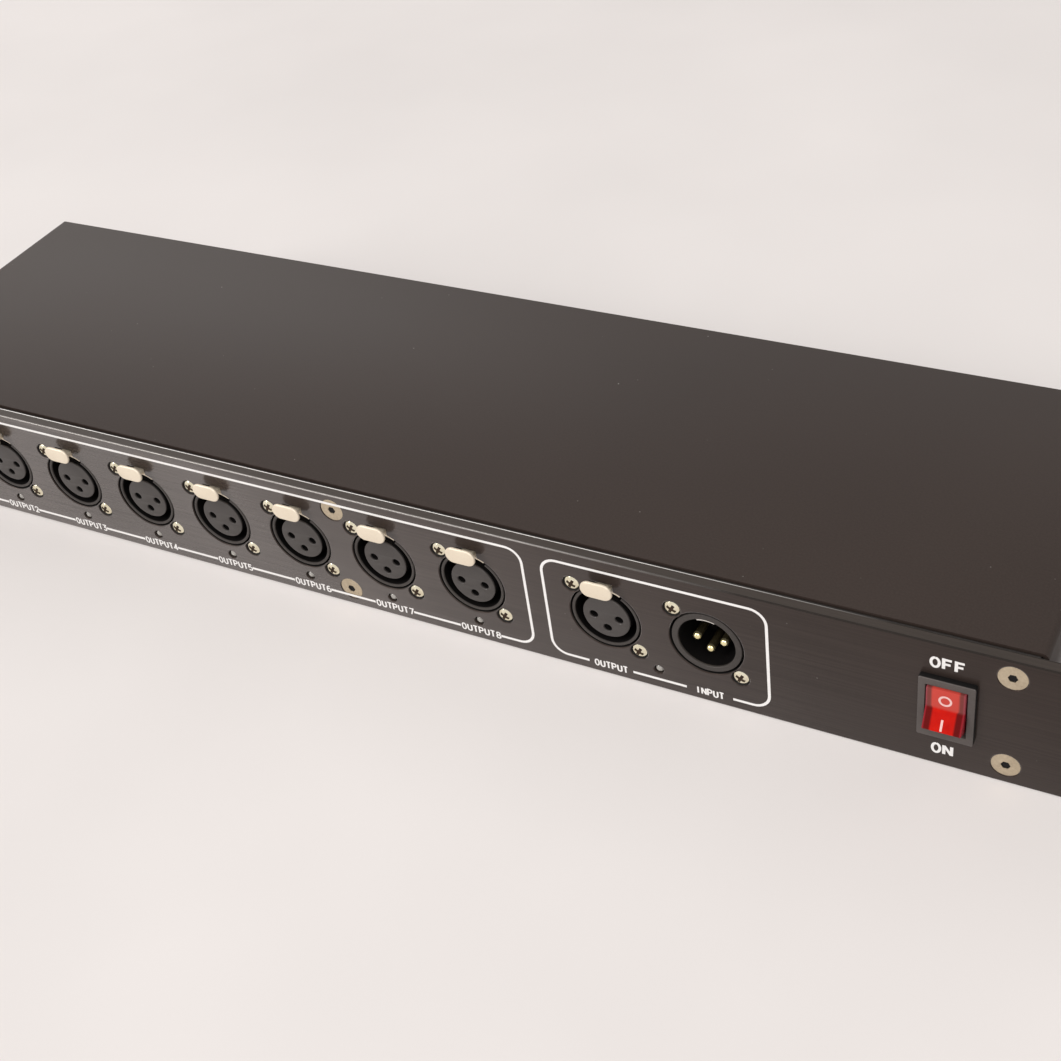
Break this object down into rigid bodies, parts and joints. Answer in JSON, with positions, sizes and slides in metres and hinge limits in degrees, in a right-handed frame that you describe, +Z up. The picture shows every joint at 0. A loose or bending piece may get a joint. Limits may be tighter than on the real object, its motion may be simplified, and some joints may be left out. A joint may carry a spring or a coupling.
{
  "type": "rack dmx splitter",
  "caption": "Rack-mount control signal splitter with a row of latching round sockets, a pinned input, indicator lamps and a rocker power switch on its front panel.",
  "frame": {"origin": "middle of the underside of the whole unit", "axes": "+X along the panel towards the power switch, +Y from the panel back to the mains inlet, +Z up"},
  "size_m": [0.4826, 0.127, 0.044],
  "materials": {
    "panel": "brushed and anodised black",
    "chassis_steel": "black powder coat",
    "cover_paint": "fine black powder coat",
    "circuit_board": "green solder mask",
    "socket_shell": "satin black",
    "socket_insert": "moulded dark grey",
    "plug_insert": "moulded black",
    "latch_metal": "satin nickel",
    "bright_steel": "bright",
    "screw_nickel": "nickel plated",
    "contact_gold": "gold plated",
    "lamp_lens": "clear epoxy",
    "switch_black": "moulded black",
    "rocker_red": "clear red",
    "inlet_black": "moulded black",
    "print_white": "screen printed"
  },
  "bodies": {
    "chassis": {"front_panel": "panel", "chassis_tray": "chassis_steel", "top_cover": "cover_paint", "connector_board": "circuit_board", "power_supply": "circuit_board", "output_1_housing": "socket_shell", "output_1_insert": "socket_insert", "output_1_lamp": "lamp_lens", "output_2_housing": "socket_shell", "output_2_insert": "socket_insert", "output_2_lamp": "lamp_lens", "output_3_housing": "socket_shell", "output_3_insert": "socket_insert", "output_3_lamp": "lamp_lens", "output_4_housing": "socket_shell", "output_4_insert": "socket_insert", "output_4_lamp": "lamp_lens", "output_5_housing": "socket_shell", "output_5_insert": "socket_insert", "output_5_lamp": "lamp_lens", "output_6_housing": "socket_shell", "output_6_insert": "socket_insert", "output_6_lamp": "lamp_lens", "output_7_housing": "socket_shell", "output_7_insert": "socket_insert", "output_7_lamp": "lamp_lens", "output_8_housing": "socket_shell", "output_8_insert": "socket_insert", "output_8_lamp": "lamp_lens", "through_housing": "socket_shell", "through_insert": "socket_insert", "through_lamp": "lamp_lens", "input_housing": "socket_shell", "input_insert": "plug_insert", "input_catch_plate": "bright_steel", "input_pin_1": "contact_gold", "input_pin_2": "contact_gold", "input_pin_3": "contact_gold", "panel_screw_1": "screw_nickel", "panel_screw_2": "screw_nickel", "panel_screw_3": "screw_nickel", "panel_screw_4": "screw_nickel", "panel_screw_5": "screw_nickel", "panel_screw_6": "screw_nickel", "switch_housing": "switch_black", "mains_inlet": "inlet_black"},
    "output_1_latch": {"output_1_latch": "latch_metal"},
    "output_2_latch": {"output_2_latch": "latch_metal"},
    "output_3_latch": {"output_3_latch": "latch_metal"},
    "output_4_latch": {"output_4_latch": "latch_metal"},
    "output_5_latch": {"output_5_latch": "latch_metal"},
    "output_6_latch": {"output_6_latch": "latch_metal"},
    "output_7_latch": {"output_7_latch": "latch_metal"},
    "output_8_latch": {"output_8_latch": "latch_metal"},
    "through_latch": {"through_latch": "latch_metal"},
    "switch_rocker": {"switch_rocker": "rocker_red"},
    "fuse_drawer": {"fuse_drawer": "inlet_black"}
  },
  "joints": [
    {"name": "output_1_latch_press", "type": "hinge", "parent": "chassis", "child": "output_1_latch", "pos_m": [-0.17463, -0.05115, 0.034], "axis": [1, 0, 0], "range_deg": [0, 6], "stiffness_Nm_per_rad": 0.3, "springref_deg": -4.58},
    {"name": "output_2_latch_press", "type": "hinge", "parent": "chassis", "child": "output_2_latch", "pos_m": [-0.14344, -0.05115, 0.034], "axis": [1, 0, 0], "range_deg": [0, 6], "stiffness_Nm_per_rad": 0.3, "springref_deg": -4.58},
    {"name": "output_3_latch_press", "type": "hinge", "parent": "chassis", "child": "output_3_latch", "pos_m": [-0.11225, -0.05115, 0.034], "axis": [1, 0, 0], "range_deg": [0, 6], "stiffness_Nm_per_rad": 0.3, "springref_deg": -4.58},
    {"name": "output_4_latch_press", "type": "hinge", "parent": "chassis", "child": "output_4_latch", "pos_m": [-0.08105, -0.05115, 0.034], "axis": [1, 0, 0], "range_deg": [0, 6], "stiffness_Nm_per_rad": 0.3, "springref_deg": -4.58},
    {"name": "output_5_latch_press", "type": "hinge", "parent": "chassis", "child": "output_5_latch", "pos_m": [-0.04986, -0.05115, 0.034], "axis": [1, 0, 0], "range_deg": [0, 6], "stiffness_Nm_per_rad": 0.3, "springref_deg": -4.58},
    {"name": "output_6_latch_press", "type": "hinge", "parent": "chassis", "child": "output_6_latch", "pos_m": [-0.01867, -0.05115, 0.034], "axis": [1, 0, 0], "range_deg": [0, 6], "stiffness_Nm_per_rad": 0.3, "springref_deg": -4.58},
    {"name": "output_7_latch_press", "type": "hinge", "parent": "chassis", "child": "output_7_latch", "pos_m": [0.01253, -0.05115, 0.034], "axis": [1, 0, 0], "range_deg": [0, 6], "stiffness_Nm_per_rad": 0.3, "springref_deg": -4.58},
    {"name": "output_8_latch_press", "type": "hinge", "parent": "chassis", "child": "output_8_latch", "pos_m": [0.04372, -0.05115, 0.034], "axis": [1, 0, 0], "range_deg": [0, 6], "stiffness_Nm_per_rad": 0.3, "springref_deg": -4.58},
    {"name": "through_latch_press", "type": "hinge", "parent": "chassis", "child": "through_latch", "pos_m": [0.08791, -0.05115, 0.034], "axis": [1, 0, 0], "range_deg": [0, 6], "stiffness_Nm_per_rad": 0.3, "springref_deg": -4.58},
    {"name": "power_rocker_tilt", "type": "hinge", "parent": "chassis", "child": "switch_rocker", "pos_m": [0.18691, -0.05495, 0.0224], "axis": [1, 0, 0], "range_deg": [0, 28]},
    {"name": "fuse_drawer_slide", "type": "slide", "parent": "chassis", "child": "fuse_drawer", "axis": [0, 1, 0], "range_m": [0, 0.014]}
  ]
}
